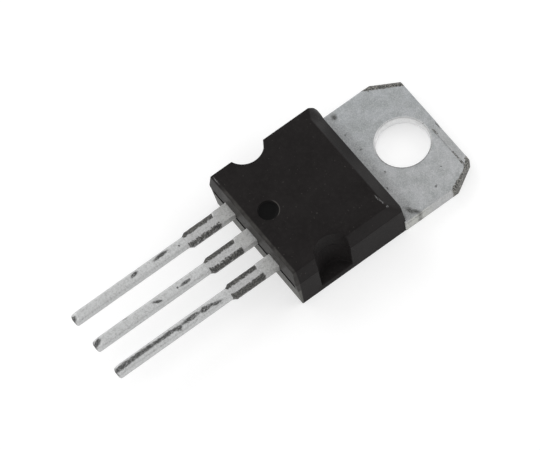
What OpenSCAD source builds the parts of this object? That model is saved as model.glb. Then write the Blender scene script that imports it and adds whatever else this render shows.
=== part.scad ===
// Three-lead voltage regulator in a plastic power package with a metal mounting tab.
// Origin: centre of the tab's mounting hole, on the flat back face.
// +Z points out of the front of the body, +Y to the tab's end, and the leads run to -Y.

/* [Tab] */
// Width of the tab across the package
tab_w = 10.2; // [9.8:0.05:10.6]
// Thickness of the tab and of the flag under the chip
tab_t = 1.27; // [1.1:0.01:1.4]
// From the hole's centre to the tab's end
tab_end = 2.8; // [2.6:0.05:3.2]
// Diameter of the mounting hole
hole_d = 3.85; // [3.5:0.05:4.0]
// Length of each corner cut along the tab's end
corner_x = 1.15; // [0.8:0.05:1.6]
// Length of each corner cut along the tab's side
corner_y = 1.9; // [1.2:0.05:2.2]
// Width of the rolled edge round the tab's face
edge_w = 0.14; // [0.06:0.02:0.24]
// Depth of the rolled edge
edge_h = 0.1; // [0.04:0.02:0.2]
// Width of the coined edge where the tab was parted from the strip
coin_w = 0.5; // [0.3:0.05:0.6]
// Width of the coined edge along the corner cut beside it
coin_corner_w = 0.35; // [0.2:0.05:0.5]
// Depth of the coined edge
coin_h = 0.16; // [0.06:0.02:0.3]
// Where the coined edge starts, to the right of the hole's centre
coin_from = 0.3; // [0:0.1:1.5]

/* [Flag inside the body] */
// Width of the flag's exposed back face
flag_w = 7.2; // [6.9:0.1:7.6]
// How far the flag's upper half overhangs the exposed face, to lock it in the mould
lock_step = 0.3; // [0.15:0.05:0.4]
// Height of the locking step above the back face
lock_z = 0.6; // [0.4:0.05:0.8]
// From the body's lead side to the flag's exposed end
flag_back = 1.25; // [1.1:0.05:1.6]
// How far the tab keeps its full width inside the body
shoulder_in = 0.45; // [0.2:0.05:0.7]

/* [Body] */
// Full thickness of the package
body_h = 4.5; // [4.3:0.05:4.7]
// How far each flank lies inside the tab's side at the parting line
body_in = 0.02; // [0:0.01:0.1]
// How far each flank leans in between the parting line and the flat top
flank_lean = 0.28; // [0.2:0.01:0.45]
// From the hole's centre to the body's edge on the tab
body_start = 3.2; // [3:0.05:3.4]
// From the hole's centre to the body's lead side at the parting line
body_end = 12.8; // [12.6:0.05:13]
// How far the tab side of the body leans back between the tab and the parting line
lean_low = 0.36; // [0.1:0.02:0.6]
// How far the tab side leans back between the parting line and the top
lean_high = 1.1; // [0.6:0.05:1.4]
// How far the lead side leans back above the parting line
lead_side_draft = 0.13; // [0.05:0.01:0.25]
// How far the lead side leans back below the parting line
under_draft = 0.26; // [0.1:0.02:0.4]
// How far the flanks lean in below the parting line
flank_draft = 0.05; // [0.02:0.01:0.15]
// Small step between the two halves of the mould
parting_step = 0.04; // [0.02:0.01:0.08]
// Width of the softened edge round the top
top_edge_w = 0.13; // [0.05:0.01:0.2]
// Height of the softened edge round the top
top_edge_h = 0.24; // [0.1:0.02:0.4]
// Radius of the upright corners above the tab
tab_corner_r = 0.8; // [0.4:0.05:1.2]
// Radius of the other upright corners
lead_corner_r = 0.15; // [0.1:0.05:0.4]

/* [Notches and dimple] */
// From the hole's centre to the notches' centre line
notch_y = 9.5; // [9.3:0.05:9.8]
// How far each notch's centre lies outside the body's side
notch_out = 0.2; // [0:0.01:0.3]
// Radius of a notch at the top of the body
notch_r = 1.42; // [1:0.02:1.5]
// How much the notch narrows towards its floor
notch_draft = 0.08; // [0.02:0.02:0.2]
// Height of the ledge left under each notch
ledge_h = 0.6; // [0.4:0.05:1]
// Wall of mould between a notch and the flag
notch_wall = 0.35; // [0.25:0.05:0.5]
// Diameter of the ejector dimple
dimple_d = 1.5; // [1:0.05:1.8]
// Depth of the ejector dimple
dimple_h = 0.15; // [0.05:0.01:0.25]
// From the body's lead side to the dimple's centre
dimple_in = 1.68; // [1.3:0.02:2]
// Sideways place of the dimple
dimple_x = -0.15; // [-0.5:0.05:0.5]

/* [Leads] */
// Distance between neighbouring leads
pitch = 2.54; // [2.4:0.02:2.7]
// Thickness of the leads
lead_t = 0.58; // [0.48:0.01:0.66]
// From the back face to the underside of the leads
lead_z = 2.62; // [2.4:0.02:2.7]
// Width of each lead's slender part
lead_w = 0.8; // [0.62:0.02:0.88]
// Width of each lead near the body
lead_wide_w = 1.2; // [1.14:0.02:1.4]
// Length of the wide part outside the body
wide_l = 3.55; // [3.3:0.05:3.9]
// From the hole's centre to the tips of the leads
tip_y = 26.1; // [25:0.1:27]
// Length of the slope between the wide and the slender part
shoulder_l = 0.32; // [0.1:0.01:0.45]
// Length of full width between the body and the sheared flanks
stub_l = 0.95; // [0.6:0.05:1.4]
// Width of the drawn-down bevel on the left sheared flank
left_bevel_w = 0.4; // [0.2:0.02:0.5]
// Width of the bevel on the right sheared flank
right_bevel_w = 0.14; // [0.06:0.02:0.3]
// Depth of the bevels on the sheared flanks
flank_bevel_h = 0.12; // [0.06:0.02:0.2]
// Size of the cut corners at each tip
tip_cut = 0.1; // [0.06:0.02:0.24]
// Length of the bevel on top of each tip
tip_bevel_l = 0.3; // [0.2:0.05:0.6]
// Depth of the bevel on top of each tip
tip_bevel_h = 0.12; // [0.06:0.02:0.3]
// Width of the small bevel along the slender part's front edges
lead_edge = 0.06; // [0.02:0.01:0.1]

/* [Inside] */
// Width of the two bond paddles
paddle_w = 2.1; // [1.8:0.05:2.3]
// Depth of the bond paddles
paddle_l = 1.15; // [0.9:0.05:1.3]
// Cover of mould between the lead side and the paddles
paddle_in = 0.65; // [0.5:0.05:0.8]
// How far the paddles sit outwards of their leads
paddle_out = 0.12; // [0:0.02:0.2]
// Width of the centre lead's neck
neck_w = 1.3; // [1:0.05:1.5]
// How far the neck runs forwards as it climbs to the centre lead
neck_climb = 0.6; // [0.5:0.02:0.7]
// Radius of the mould-lock bites in the paddles' sides
bite_r = 0.22; // [0.15:0.01:0.26]
// Length of the chip across the package
die_x = 2.4; // [2.2:0.1:2.8]
// Length of the chip along the package
die_y = 2.1; // [1.8:0.1:2.4]
// Thickness of the chip
die_t = 0.3; // [0.2:0.01:0.4]
// Thickness of the solder under the chip
solder_t = 0.05; // [0.03:0.01:0.1]
// How far the solder reaches past the chip
solder_rim = 0.12; // [0.05:0.01:0.2]
// From the hole's centre to the chip's centre
die_at = 7.7; // [7.3:0.1:8.1]
// From the chip's edges to the centres of its bond pads
pad_in = 0.35; // [0.3:0.01:0.4]
// From the solder's edge to the ground bond on the flag
ground_bond = 1.2; // [0.9:0.05:1.3]
// Diameter of the bond wires
wire_d = 0.25; // [0.15:0.01:0.3]
// Height of the wire loops above the paddles
loop_h = 0.45; // [0.3:0.05:0.6]
// Height of the ground wire's loop above the chip
ground_loop_h = 0.55; // [0.4:0.05:0.7]

/* [Hidden] */
$fn = 64;
past = 0.5;
hair = 0.001;
lead_front_z = lead_z + lead_t;
part_z = lead_z + lead_t / 2;
flag_end_y = -(body_end - flag_back);
flag_top_w = flag_w + 2 * lock_step;
flag_end_top_y = flag_end_y - lock_step;
body_w = tab_w - 2 * body_in;
top_w = body_w - 2 * flank_lean;
notch_x = body_w / 2 + notch_out;
flag_bite_r = notch_r + notch_wall;
shoulder_y = -(body_start + shoulder_in);
wide_end_y = -(body_end + wide_l);
neck_y = wide_end_y - shoulder_l;
flank_y = -(body_end + stub_l);
die_top_z = tab_t + solder_t + die_t;
foot_h = 0.45 * wire_d;
foot_l = 1.8 * wire_d;
foot_w = 1.4 * wire_d;
wire_sides = 8;
loop_steps = 9;
neck_lap = 0.3;

// A prism that cuts a bevel off the top edge from point a to point b, with the metal on its left.
module edge_bevel(a, b, z, w, h) {
    run = b - a;
    translate([a[0], a[1], z])
        rotate([0, 0, atan2(run[1], run[0])])
            translate([-past, 0, 0])
                rotate([90, 0, 90])
                    linear_extrude(norm(run) + 2 * past)
                        polygon([[w, past], [w, 0], [0, -h], [-past, -h], [-past, past]]);
}

// Outline of the tab's full width, which ends in two shoulders under the body's corners.
tab_outline = [
    [-tab_w / 2, shoulder_y],
    [tab_w / 2, shoulder_y],
    [tab_w / 2, tab_end - corner_y],
    [tab_w / 2 - corner_x, tab_end],
    [-tab_w / 2 + corner_x, tab_end],
    [-tab_w / 2, tab_end - corner_y]
];

// The thick tab with its hole, corner cuts, rolled edges and coined end.
module tab_plate() {
    difference() {
        linear_extrude(tab_t) polygon(tab_outline);
        translate([0, 0, -past]) cylinder(d = hole_d, h = tab_t + 2 * past);
        for (i = [1 : 4])
            edge_bevel(tab_outline[i], tab_outline[i + 1], tab_t, edge_w, edge_h);
        edge_bevel(tab_outline[5], tab_outline[0], tab_t, edge_w, edge_h);
        edge_bevel(tab_outline[2], tab_outline[3], tab_t, coin_corner_w, coin_h);
        intersection() {
            edge_bevel(tab_outline[3], tab_outline[4], tab_t, coin_w, coin_h);
            translate([coin_from, 0, 0]) cube([tab_w, tab_end + past, tab_t + past]);
        }
    }
}

// One layer of the flag under the body, with room left for the mould's notches.
module flag_layer(w, end_y, z, h) {
    difference() {
        translate([-w / 2, end_y, z]) cube([w, -body_start - end_y, h]);
        for (side = [-1, 1])
            translate([side * notch_x, -notch_y, z - past]) cylinder(r = flag_bite_r, h = h + 2 * past);
    }
}

// Side profile of the neck that climbs from the flag to the centre lead, at the leads' own thickness.
module neck() {
    rise = lead_front_z - tab_t;
    across = lead_t * norm([neck_climb, rise]) / rise;
    top_y = flag_end_top_y + across;
    translate([-neck_w / 2, 0, 0])
        rotate([90, 0, 90])
            linear_extrude(neck_w)
                polygon([
                    [top_y + neck_lap, tab_t - lead_t], [top_y + neck_lap, tab_t], [top_y, tab_t],
                    [top_y - neck_climb, lead_front_z], [-body_end + neck_lap / 2, lead_front_z],
                    [-body_end + neck_lap / 2, lead_z], [flag_end_top_y - neck_climb, lead_z],
                    [flag_end_top_y, tab_t - lead_t]
                ]);
}

// Outline of one lead from inside the body to its tip, centred on x = 0.
module lead_outline(inner_y) {
    w = lead_wide_w / 2;
    s = lead_w / 2;
    polygon([
        [-w, inner_y], [-w, wide_end_y], [-s, neck_y],
        [-s, -tip_y + tip_cut], [-s + tip_cut, -tip_y], [s - tip_cut, -tip_y], [s, -tip_y + tip_cut],
        [s, neck_y], [w, wide_end_y], [w, inner_y]
    ]);
}

// What is cut off the right flank of a lead's wide part, where the tie bar was sheared away.
module flank_cut(bevel_w) {
    w = lead_wide_w / 2;
    intersection() {
        edge_bevel([w, wide_end_y], [w, flank_y], lead_front_z, bevel_w, flank_bevel_h);
        translate([0, neck_y, lead_z]) cube([2 * w, flank_y - neck_y, 2 * lead_t]);
    }
}

// What is cut off the right front edge of a lead's slender part.
module slim_edge_cut() {
    s = lead_w / 2;
    intersection() {
        edge_bevel([s, -tip_y], [s, neck_y], lead_front_z, lead_edge, lead_edge);
        translate([0, -tip_y - past, lead_z]) cube([2 * s, tip_y + neck_y + past, 2 * lead_t]);
    }
}

// One lead with its sheared flanks, softened front edges and bevelled tip.
module lead_bar(x, inner_y) {
    w = lead_wide_w / 2;
    translate([x, 0, 0])
        difference() {
            translate([0, 0, lead_z]) linear_extrude(lead_t) lead_outline(inner_y);
            flank_cut(right_bevel_w);
            mirror([1, 0, 0]) flank_cut(left_bevel_w);
            slim_edge_cut();
            mirror([1, 0, 0]) slim_edge_cut();
            edge_bevel([-w, -tip_y], [w, -tip_y], lead_front_z, tip_bevel_l, tip_bevel_h);
        }
}

// A side lead: the bar outside and the bond paddle inside the body.
module side_lead(side) {
    x = side * pitch;
    paddle_x = side * (pitch + paddle_out);
    paddle_y = -(body_end - paddle_in);
    lead_bar(x, paddle_y + paddle_l / 2);
    difference() {
        translate([paddle_x - paddle_w / 2, paddle_y, lead_z]) cube([paddle_w, paddle_l, lead_t]);
        for (edge = [-1, 1])
            translate([paddle_x + edge * paddle_w / 2, paddle_y + paddle_l / 2, lead_z - past])
                cylinder(r = bite_r, h = lead_t + 2 * past);
    }
}

module tab_frame() {
    color([0.66, 0.67, 0.69]) {
        tab_plate();
        flag_layer(flag_w, flag_end_y, 0, lock_z);
        flag_layer(flag_top_w, flag_end_top_y, lock_z, tab_t - lock_z);
        neck();
        lead_bar(0, -body_end + neck_lap);
    }
}

module input_lead() {
    color([0.74, 0.75, 0.76]) side_lead(-1);
}

module output_lead() {
    color([0.74, 0.75, 0.76]) side_lead(1);
}

module die_solder() {
    color([0.6, 0.62, 0.65])
        translate([-die_x / 2 - solder_rim, -die_at - die_y / 2 - solder_rim, tab_t])
            cube([die_x + 2 * solder_rim, die_y + 2 * solder_rim, solder_t]);
}

module die() {
    color([0.25, 0.28, 0.36])
        translate([-die_x / 2, -die_at - die_y / 2, tab_t + solder_t])
            cube([die_x, die_y, die_t]);
}

function unit(v) = v / norm(v);

// A point on the curved part of a wire: distance along its run, height above its first pad.
function loop_point(t, run, rise, peak) =
    3 * t * pow(1 - t, 2) * [0.25 * run, 1.2 * peak]
    + 3 * t * t * (1 - t) * [0.7 * run, 1.2 * peak]
    + t * t * t * [run, rise];

// Each ring along a wire: its centre, the width and height it is pressed to, and the way it faces.
function wire_rings(run, rise, peak) = concat(
    [for (s = [-1, -0.3]) [[s * foot_l, foot_h / 2], foot_w, foot_h, [1, 0]]],
    [for (i = [0 : loop_steps])
        let (
            here = loop_point(i / loop_steps, run, rise, peak),
            ahead = loop_point(min(i + 0.5, loop_steps) / loop_steps, run, rise, peak),
            behind = loop_point(max(i - 0.5, 0) / loop_steps, run, rise, peak)
        )
        [here + [0, wire_d / 2], wire_d, wire_d, unit(ahead - behind)]],
    [for (s = [0.3, 1]) [[run + s * foot_l, rise + foot_h / 2], foot_w, foot_h, [1, 0]]]
);

// A bond wire between two flat pads, with a flattened foot on each and a loop between them.
module bond_wire(from_pad, to_pad, peak) {
    move = to_pad - from_pad;
    rings = wire_rings(norm([move[0], move[1]]), move[2], peak);
    last = len(rings) - 1;
    points = [
        for (ring = rings, k = [0 : wire_sides - 1])
            let (
                turn = (k + 0.5) * 360 / wire_sides,
                across = ring[1] / 2 * cos(turn) / cos(180 / wire_sides),
                up = ring[2] / 2 * sin(turn) / cos(180 / wire_sides)
            )
            [ring[0][0] - ring[3][1] * up, across, ring[0][1] + ring[3][0] * up]
    ];
    skin = [
        for (i = [0 : last - 1], k = [0 : wire_sides - 1])
            let (a = i * wire_sides + k, b = i * wire_sides + (k + 1) % wire_sides)
            each [[a, a + wire_sides, b], [b, a + wire_sides, b + wire_sides]]
    ];
    ends = [
        [for (k = [0 : wire_sides - 1]) k],
        [for (k = [wire_sides - 1 : -1 : 0]) last * wire_sides + k]
    ];
    translate(from_pad)
        rotate([0, 0, atan2(move[1], move[0])])
            polyhedron(points, concat(skin, ends));
}

module side_wire(side) {
    pad = [side * (die_x / 2 - pad_in), -die_at - die_y / 2 + pad_in, die_top_z];
    paddle = [side * pitch, -(body_end - paddle_in - paddle_l / 2), lead_front_z];
    bond_wire(pad, paddle, lead_front_z - die_top_z + loop_h);
}

module input_wire() {
    color([0.82, 0.82, 0.84]) side_wire(-1);
}

module output_wire() {
    color([0.82, 0.82, 0.84]) side_wire(1);
}

module ground_wire() {
    pad = [0, -die_at - die_y / 2 + pad_in, die_top_z];
    post = [0, -die_at - die_y / 2 - solder_rim - ground_bond, tab_t];
    color([0.82, 0.82, 0.84]) bond_wire(pad, post, ground_loop_h);
}

// Side view of the body: heights against distance along the package.
module body_side() {
    polygon([
        [-body_start, 0], [-body_start, tab_t], [-body_start - lean_low, part_z],
        [-body_start - lean_low - lean_high, body_h],
        [-body_end + lead_side_draft + top_edge_w, body_h],
        [-body_end + lead_side_draft, body_h - top_edge_h],
        [-body_end, part_z], [-body_end + parting_step, part_z],
        [-body_end + under_draft, 0]
    ]);
}

// Front view of the body: heights against width, up one flank and down the other.
module body_front() {
    flank = [
        [body_w / 2 - flank_draft, 0], [body_w / 2 - parting_step, part_z], [body_w / 2, part_z],
        [top_w / 2 + top_edge_w / 2, body_h - top_edge_h], [top_w / 2 - top_edge_w / 2, body_h]
    ];
    last = len(flank) - 1;
    polygon(concat(flank, [for (i = [last : -1 : 0]) [-flank[i][0], flank[i][1]]]));
}

// Plan of the body, with its rounded upright corners of radius rt beside the tab.
module body_plan(rt) {
    w = body_w / 2;
    rl = lead_corner_r;
    translate([-w + rt, -body_start - rt]) circle(rt);
    translate([w - rt, -body_start - rt]) circle(rt);
    translate([-w + rl, -body_end + rl]) circle(rl);
    translate([w - rl, -body_end + rl]) circle(rl);
    translate([-w, -body_end + rl]) square([2 * w, body_end - body_start - rt - rl]);
    translate([-w + rt, -body_start - rt - past]) square([2 * (w - rt), rt + past]);
    translate([-w + rl, -body_end]) square([2 * (w - rl), rl + past]);
}

// The moulded block before anything is taken out of it.
module mould_block() {
    intersection() {
        translate([-body_w, 0, 0]) rotate([90, 0, 90]) linear_extrude(2 * body_w) body_side();
        rotate([90, 0, 0]) linear_extrude(2 * body_end) body_front();
        union() {
            linear_extrude(tab_t) body_plan(lead_corner_r);
            translate([0, 0, tab_t]) linear_extrude(body_h - tab_t) body_plan(tab_corner_r);
        }
    }
}

module mould_body() {
    color([0.13, 0.125, 0.125])
        difference() {
            mould_block();
            for (side = [-1, 1])
                translate([side * notch_x, -notch_y, ledge_h])
                    cylinder(r1 = notch_r - notch_draft, r2 = notch_r, h = body_h - ledge_h + hair);
            translate([dimple_x, -(body_end - dimple_in), body_h - dimple_h])
                cylinder(d = dimple_d, h = dimple_h + past);
            tab_frame();
            input_lead();
            output_lead();
            die_solder();
            die();
            input_wire();
            output_wire();
            ground_wire();
        }
}

tab_frame();
input_lead();
output_lead();
die_solder();
die();
input_wire();
output_wire();
ground_wire();
mould_body();
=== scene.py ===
"""Looks of a three-lead voltage regulator in a moulded tab package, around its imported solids."""

import math

import bmesh
import bpy
from mathutils import Matrix, Vector, noise
from mathutils.geometry import delaunay_2d_cdt


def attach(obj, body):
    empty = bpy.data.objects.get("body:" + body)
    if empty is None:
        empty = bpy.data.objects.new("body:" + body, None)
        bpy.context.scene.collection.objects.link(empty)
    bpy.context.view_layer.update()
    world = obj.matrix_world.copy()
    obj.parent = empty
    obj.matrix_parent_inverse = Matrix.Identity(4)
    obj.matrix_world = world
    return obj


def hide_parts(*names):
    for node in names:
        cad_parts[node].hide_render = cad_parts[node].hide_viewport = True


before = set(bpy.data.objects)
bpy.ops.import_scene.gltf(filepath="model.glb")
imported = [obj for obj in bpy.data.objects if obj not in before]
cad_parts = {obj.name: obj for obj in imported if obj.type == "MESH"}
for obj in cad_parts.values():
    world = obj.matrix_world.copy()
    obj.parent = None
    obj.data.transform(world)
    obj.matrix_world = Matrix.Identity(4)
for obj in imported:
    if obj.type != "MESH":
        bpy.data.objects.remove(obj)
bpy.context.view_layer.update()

# Lengths are in millimetres until a finished mesh is scaled to metres.
MM = 0.001

# Tab
TAB_HALF = 5.1
TAB_T = 1.27
TAB_END = 2.8
HOLE_R = 1.925
HOLE_ROLL = 0.115    # width of the hole's rolled rim on the front
HOLE_OPEN = 0.24     # how far the hole opens at its back edge
CORNER_X = 1.15
CORNER_Y = 1.9
ROLL_W = 0.15
ROLL_H = 0.09
ROLL_STEPS = 6
WALL_TOP = 1.02      # the sheared wall's levels are shares of this
COIN_W = 0.57        # coined strip along the tab's end, which fades in from COIN_FROM to the right
COIN_FROM = 0.3
COIN_WAVE = (1.1, 0.03, 5)
CREASE_W = 0.16
CREASE_STEP = 0.08
CREASE_POINTS = 56
FACE_GRID = 0.14     # spacing of the points that fill the tab's face
BACK_GRID = 0.55     # and its back

# Body
BODY_HALF = 5.08
TOP_HALF = 4.8
BODY_H = 4.5
BODY_START = 3.2
BODY_END = 12.8
SHOULDER_Y = -3.65
PART_Z = 2.91
PART_STEP = 0.04
LEAN_LOW = 0.36
LEAN_HIGH = 1.1
LEAD_DRAFT = 0.13
UNDER_DRAFT = 0.26
FLANK_DRAFT = 0.05
# The worn right corner is cut off along y + CORNER_TURN * x = CORNER_CUT - CORNER_LEAN * z.
CORNER_TURN = 0.3
CORNER_CUT = -1.937
CORNER_LEAN = 0.082
CORNER_FROM = 1.24
LEFT_PROUD = 0.42    # how far the left corner stands out at the top
EDGE_IN = (0.06, 0.05, 0.12)    # rounding of the top edge: flanks, tab side, lead side
LEAD_CORNER_R = 0.15
NOTCH = (5.28, -9.5)
NOTCH_R = 1.42
NOTCH_DRAFT = 0.08
LEDGE_Z = 0.6
LEDGE_R = 0.07       # rounding between a ledge and the notch's wall
RIM_R = 0.07         # rounding of a notch's rim at the top
TOP_R = 0.13         # height of the top edge's rounding
TOP_STEPS = 6
DIMPLE = (-0.15, -11.12)
DIMPLE_R = 0.75
DIMPLE_DEEP = 0.15
TOP_GRID = 0.3       # spacing of the points that fill the top face
CUT_ROOM = 0.004     # room round the pieces inside, so that no faces coincide in the booleans

# Leads
PITCH = 2.54
LEAD_LOW = 2.62
LEAD_HIGH = 3.2
SLIM_HALF = 0.4
WIDE_HALF = 0.6
TIP_Y = -26.1
WIDE_END_Y = -16.35
SHOULDER = 0.32
FLANK_END_Y = -13.75
FLANK_FADE = 0.45
LEFT_BEVEL = (0.4, 0.12)
RIGHT_BEVEL = (0.14, 0.12)
TIP_LONG = 0.7
SLIM_STEP = 0.22
WIDE_STEP = 0.12
PADDLE_IN = 0.65
PADDLE_LONG = 1.15
PADDLE_HALF = 1.05
PADDLE_OUT = 0.12
PADDLE_STEPS = 12
BITE_R = 0.22
NECK_IN = 0.29       # how far the centre lead's bar reaches into the body


# Meshes

WORN = {}


def place_key(point):
    return tuple(round(c, 3) for c in point)


def make_object(name, points, faces, wear=()):
    """A mesh object in millimetres, with the wear of its points kept by place for finish_piece."""
    mesh = bpy.data.meshes.new(name)
    mesh.from_pydata(points, [], faces)
    WORN.update((place_key(p), w) for p, w in zip(points, wear) if w > 0)
    obj = bpy.data.objects.new(name, mesh)
    bpy.context.scene.collection.objects.link(obj)
    weld(obj)
    return obj


def weld(obj):
    """Merges points that coincide and turns every face outwards."""
    bm = bmesh.new()
    bm.from_mesh(obj.data)
    bmesh.ops.remove_doubles(bm, verts=bm.verts, dist=2e-5)
    bmesh.ops.dissolve_degenerate(bm, dist=2e-5, edges=bm.edges)
    bmesh.ops.recalc_face_normals(bm, faces=bm.faces)
    bm.to_mesh(obj.data)
    bm.free()


def apply_modifiers(obj):
    graph = bpy.context.evaluated_depsgraph_get()
    mesh = bpy.data.meshes.new_from_object(obj.evaluated_get(graph))
    obj.modifiers.clear()
    obj.data = mesh


def combine(obj, other, operation):
    """Applies an exact boolean with the other object, which is deleted."""
    cut = obj.modifiers.new("cut", "BOOLEAN")
    cut.operation = operation
    cut.solver = "EXACT"
    cut.object = other
    apply_modifiers(obj)
    bpy.data.objects.remove(other)


def node_copy(name, grow=0.0):
    """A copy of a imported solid, in millimetres, grown by the given amount all round."""
    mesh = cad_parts[name].data.copy()
    mesh.materials.clear()
    mesh.transform(Matrix.Scale(1 / MM, 4))
    obj = bpy.data.objects.new("copy_" + name, mesh)
    bpy.context.scene.collection.objects.link(obj)
    weld(obj)
    moves = [v.normal * grow for v in mesh.vertices]
    for v, move in zip(mesh.vertices, moves):
        v.co += move
    return obj


def block(name, low, high):
    points = [(x, y, z) for x in (low[0], high[0]) for y in (low[1], high[1])
              for z in (low[2], high[2])]
    faces = [(0, 1, 3, 2), (4, 6, 7, 5), (0, 4, 5, 1), (2, 3, 7, 6), (0, 2, 6, 4), (1, 5, 7, 3)]
    return make_object(name, points, faces)


def finish_piece(obj, sharp_deg):
    """Scales to metres and gives smooth shading with crisp edges."""
    weld(obj)
    layer = obj.data.attributes.new("wear", "FLOAT", "POINT")
    layer.data.foreach_set("value", [WORN.get(place_key(v.co), 0.0) for v in obj.data.vertices])
    obj.data.transform(Matrix.Scale(MM, 4))
    obj.data.shade_smooth()
    obj.data.set_sharp_from_angle(angle=math.radians(sharp_deg))
    normals = obj.modifiers.new("normals", "WEIGHTED_NORMAL")
    normals.keep_sharp = True
    apply_modifiers(obj)


def bridge(faces, low, high, count):
    """Quads between two closed rings that start at the given point numbers."""
    for i in range(count):
        j = (i + 1) % count
        faces.append((low + i, low + j, high + j, high + i))


def fill_flat(flat, edges, known, inner, hole, hole_r):
    """Triangles between flat points, whose first ones have known numbers, outside a round hole."""
    made, _, tris, origin, _, _ = delaunay_2d_cdt(flat, edges, [], 1, 1e-6)
    numbers = []
    for p, sources in zip(made, origin):
        first = min(sources) if sources else len(known)
        numbers.append(known[first] if first < len(known) else inner(p))
    faces = []
    for tri in tris:
        middle = sum((made[i] for i in tri), Vector((0, 0))) / 3
        if (middle - hole).length > hole_r:
            faces.append(tuple(numbers[i] for i in tri))
    return faces


def wobble(x, y, z, scale, amount, seed=0.0):
    return amount * noise.noise(Vector((x * scale + seed, y * scale - seed, z * scale)))


# Tab

TAB_OUTLINE = [
    Vector((-TAB_HALF, SHOULDER_Y)), Vector((TAB_HALF, SHOULDER_Y)),
    Vector((TAB_HALF, TAB_END - CORNER_Y)), Vector((TAB_HALF - CORNER_X, TAB_END)),
    Vector((-TAB_HALF + CORNER_X, TAB_END)), Vector((-TAB_HALF, TAB_END - CORNER_Y)),
]
# The first edge lies inside the body and is neither rolled nor rounded.
ROLLED = [False, True, True, True, True, True]
RIGHT_CUT, LEFT_CUT = 2, 4
TAB_CORNERS = len(TAB_OUTLINE)


def corner_at(i, inset):
    """Corner i of the tab's outline with every rolled edge moved in by inset."""
    before, here = TAB_OUTLINE[i - 1], TAB_OUTLINE[i]
    after = TAB_OUTLINE[(i + 1) % TAB_CORNERS]
    a, b = (here - before).normalized(), (after - here).normalized()
    na, nb = Vector((-a.y, a.x)), Vector((-b.y, b.x))
    da, db = inset * ROLLED[i - 1], inset * ROLLED[i]
    turn = a.cross(b)
    p, q = here + na * da, here + nb * db
    return p + a * ((q - p).cross(b) / turn)


def tab_ring(inset, step=0.16, corner_r=0.09, corner_steps=3):
    """Points round the tab at a distance inside its outline, the same count at each distance."""
    arcs = []
    for i in range(TAB_CORNERS):
        free = ROLLED[i - 1] and ROLLED[i]
        if free and inset < corner_r:
            centre = corner_at(i, corner_r)
            edge_in = (TAB_OUTLINE[i] - TAB_OUTLINE[i - 1]).normalized()
            edge_out = (TAB_OUTLINE[(i + 1) % TAB_CORNERS] - TAB_OUTLINE[i]).normalized()
            first = math.atan2(-edge_in.x, edge_in.y)
            last = first - edge_in.angle_signed(edge_out)
            arcs.append([
                centre + (corner_r - inset) * Vector((
                    math.cos(first + (last - first) * k / corner_steps),
                    math.sin(first + (last - first) * k / corner_steps)))
                for k in range(corner_steps + 1)])
        else:
            arcs.append([corner_at(i, inset)] * (corner_steps + 1))
    points = []
    for i in range(TAB_CORNERS):
        after = (i + 1) % TAB_CORNERS
        points += arcs[i]
        start, end = arcs[i][-1], arcs[after][0]
        pieces = round((TAB_OUTLINE[after] - TAB_OUTLINE[i]).length / step)
        points += [start.lerp(end, k / pieces) for k in range(1, pieces)]
    return points


def ramp(value, low, high):
    t = min(1.0, max(0.0, (value - low) / (high - low)))
    return t * t * (3 - 2 * t)


def depth_in(x, y, k):
    """How far a point lies inside edge k of the tab's outline."""
    return (Vector((x, y)) - TAB_OUTLINE[k]).dot(inner_normal(k))


def coin_depth(x, y):
    """How far a point lies inside the coined strip along the tab's end."""
    return COIN_W - (TAB_END - y) + wobble(x, 0, 0, *COIN_WAVE)


def tab_top(x, y):
    """Height of the tab's face: slightly uneven, with the coined strip along its end."""
    z = TAB_T + wobble(x, y, 0, 0.5, 0.012, 3) + wobble(x, y, 0, 2.2, 0.004, 7) - 0.012
    strip = coin_depth(x, y)
    fade = ramp(x, COIN_FROM - 0.3, COIN_FROM + 0.7)
    z -= fade * (0.06 * ramp(strip, -0.035, 0.035) + 0.07 * max(0, strip) / COIN_W)
    z -= 0.05 * ramp(0.36 - depth_in(x, y, RIGHT_CUT) + wobble(x, y, 0, 2.5, 0.08, 1), 0, 0.36)
    z -= 0.06 * ramp(0.26 - depth_in(x, y, LEFT_CUT), 0, 0.26)
    return z


def tab_wear_and_shade(x, y):
    """How rough and dark the tab is near its sheared corners and along the strip's crease. The dark
    band at the crease is painted shade, and the band along the left cut edge is rough sheared
    metal, darkened further as painted shade on its bevel.
    """
    at_end = 0.22 * ramp(y, 2.2, 2.6) + 0.1 * ramp(y, 1.35, 1.1)
    right_depth = depth_in(x, y, RIGHT_CUT)
    left_depth = depth_in(x, y, LEFT_CUT)
    right = 0.8 * ramp(0.28 + at_end - right_depth + wobble(x, y, 0, 2.0, 0.12, 9), 0.0, 0.22)
    # Left cut edge: rough sheared metal, darkened further as painted shade on its bevel, which
    # faces away from the light.
    left = 0.8 * ramp(0.55 - left_depth + wobble(x, y, 0, 2.0, 0.08, 4), 0.0, 0.2)
    # Painted shade along the crease of the coined strip.
    on_crease = ramp(1 - abs(coin_depth(x, y)) / CREASE_W, 0.0, 0.6)
    crease_shade_wave = 0.06 * ramp(x, 0.2, 0.5) - 0.2 * ramp(x, 0.9, 1.3)
    crease_shade = on_crease * (0.46 * ramp(x, 0.1, 0.5) + crease_shade_wave + 0.26 * ramp(x, 2.3, 3.2))
    return max(right, left, crease_shade)


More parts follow.
